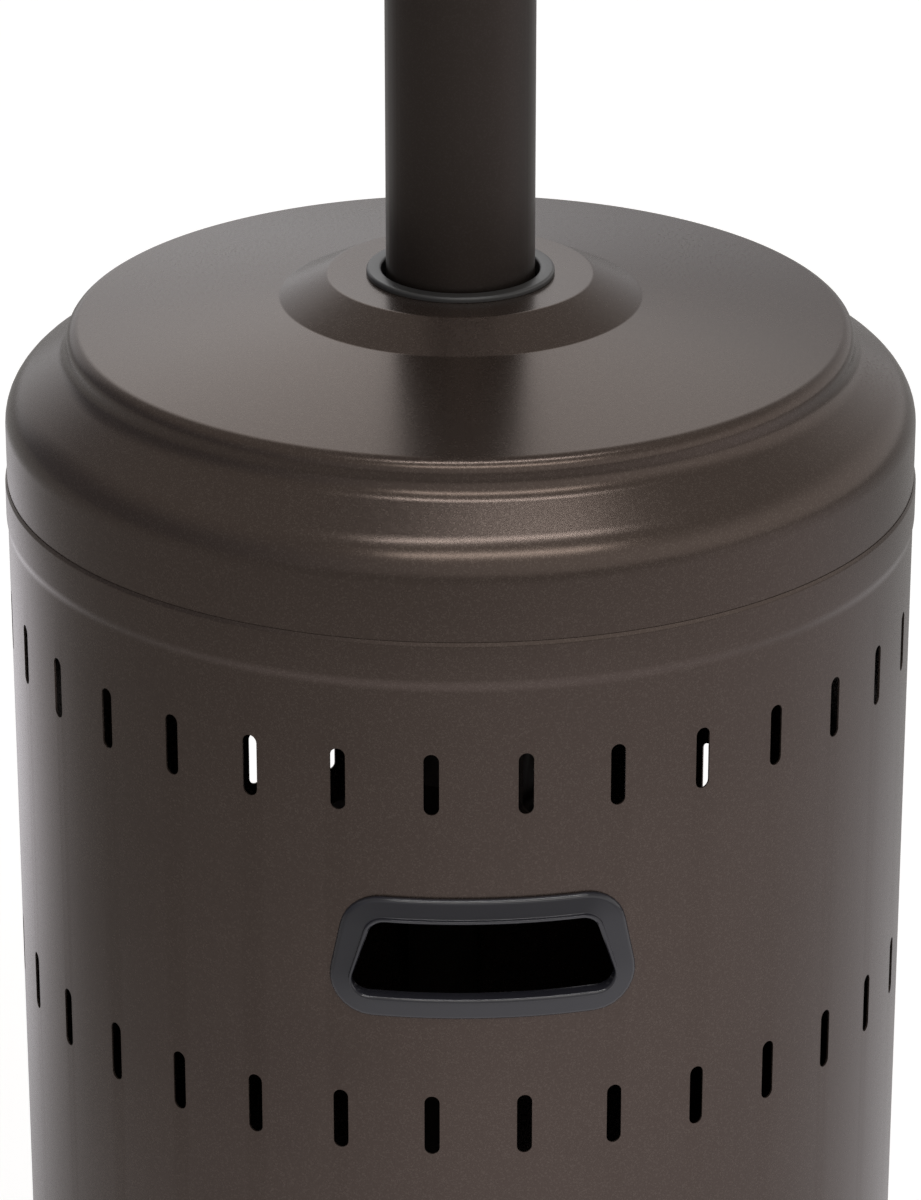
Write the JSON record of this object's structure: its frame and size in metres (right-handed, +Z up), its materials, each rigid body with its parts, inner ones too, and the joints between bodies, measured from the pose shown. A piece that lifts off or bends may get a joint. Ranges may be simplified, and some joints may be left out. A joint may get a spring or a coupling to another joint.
{
  "type": "patio heater",
  "caption": "Free-standing gas patio heater: round base, lifting cylinder housing with slots and grips, post, burner head and dome reflector.",
  "frame": {"origin": "centre of the base, on the floor plane under the feet", "axes": "+Z up along the post; -Y is the front, with the control knob and the front hand grip; +Y the wheels; +X to the right seen from the front"},
  "size_m": [0.815, 0.815, 2.252],
  "materials": {
    "bronze_paint": "satin metallic powder coat, dark bronze",
    "post_paint": "satin metallic powder coat, dark bronze",
    "frame_paint": "satin powder coat, dark bronze",
    "grip_plastic": "satin moulded plastic, blue-black",
    "black_plastic": "satin moulded plastic, black",
    "wheel_plastic": "moulded plastic, black",
    "red_plastic": "gloss moulded plastic, red",
    "rubber": "matt rubber, black",
    "zinc_steel": "zinc-plated steel",
    "cast_alloy": "die-cast alloy",
    "brass": "machined brass",
    "burner_steel": "plain stainless sheet",
    "ceramic": "glazed ceramic, off-white",
    "emitter_steel": "perforated stainless sheet",
    "reflector_aluminium": "bright spun aluminium"
  },
  "bodies": {
    "stand": {"base_plate": "frame_paint", "base_feet": "rubber", "wheel_bracket": "frame_paint", "wheel_axle": "zinc_steel", "axle_caps": "black_plastic", "post": "post_paint", "bracket_bolts": "zinc_steel", "bracket_nuts": "zinc_steel", "wheel_bolts": "zinc_steel", "post_bolts": "zinc_steel", "control_housing": "bronze_paint", "collar_screws": "zinc_steel", "gas_valve": "cast_alloy", "valve_nut": "zinc_steel", "piezo_igniter": "black_plastic", "igniter_nut": "zinc_steel", "inlet_pipe": "brass", "inlet_fitting": "brass", "outlet_pipe": "brass", "gas_jet": "brass", "mixer_tube": "burner_steel", "burner_plate": "burner_steel", "burner_head": "burner_steel", "pilot_bracket": "burner_steel", "pilot_burner": "burner_steel", "thermocouple": "burner_steel", "spark_electrode": "ceramic", "tilt_switch": "zinc_steel", "emitter_screen": "emitter_steel", "emitter_cap": "emitter_steel", "reflector_studs": "zinc_steel", "reflector": "reflector_aluminium", "wing_nuts": "zinc_steel", "post_bracket_right": "frame_paint", "post_bracket_left": "frame_paint", "post_bracket_rear": "frame_paint"},
    "housing": {"cylinder_housing": "bronze_paint", "housing_lid": "bronze_paint", "post_grommet": "black_plastic", "hand_grip_front": "grip_plastic", "hand_grip_rear": "grip_plastic"},
    "right_wheel": {"wheel_right": "wheel_plastic"},
    "left_wheel": {"wheel_left": "wheel_plastic"},
    "plunger": {"valve_plunger": "zinc_steel"},
    "knob": {"valve_stem": "brass", "control_knob": "black_plastic"},
    "button": {"igniter_button": "red_plastic"}
  },
  "joints": [
    {"name": "housing_lift", "type": "slide", "parent": "stand", "child": "housing", "axis": [0, 0, 1], "range_m": [0, 0.961]},
    {"name": "wheel_right_spin", "type": "hinge", "parent": "stand", "child": "right_wheel", "pos_m": [0, 0.2785, 0.0545], "axis": [1, 0, 0], "continuous": true},
    {"name": "wheel_left_spin", "type": "hinge", "parent": "stand", "child": "left_wheel", "pos_m": [0, 0.2785, 0.0545], "axis": [1, 0, 0], "continuous": true},
    {"name": "knob_push", "type": "slide", "parent": "stand", "child": "plunger", "axis": [0, 1, 0], "range_m": [0, 0.004], "stiffness_N_per_m": 1500},
    {"name": "knob_turn", "type": "hinge", "parent": "plunger", "child": "knob", "pos_m": [0, -0.096, 1.886], "axis": [0, -1, 0], "range_deg": [0, 180]},
    {"name": "igniter_push", "type": "slide", "parent": "stand", "child": "button", "axis": [0.5736, 0.8192, 0], "range_m": [0, 0.006], "stiffness_N_per_m": 1500}
  ]
}
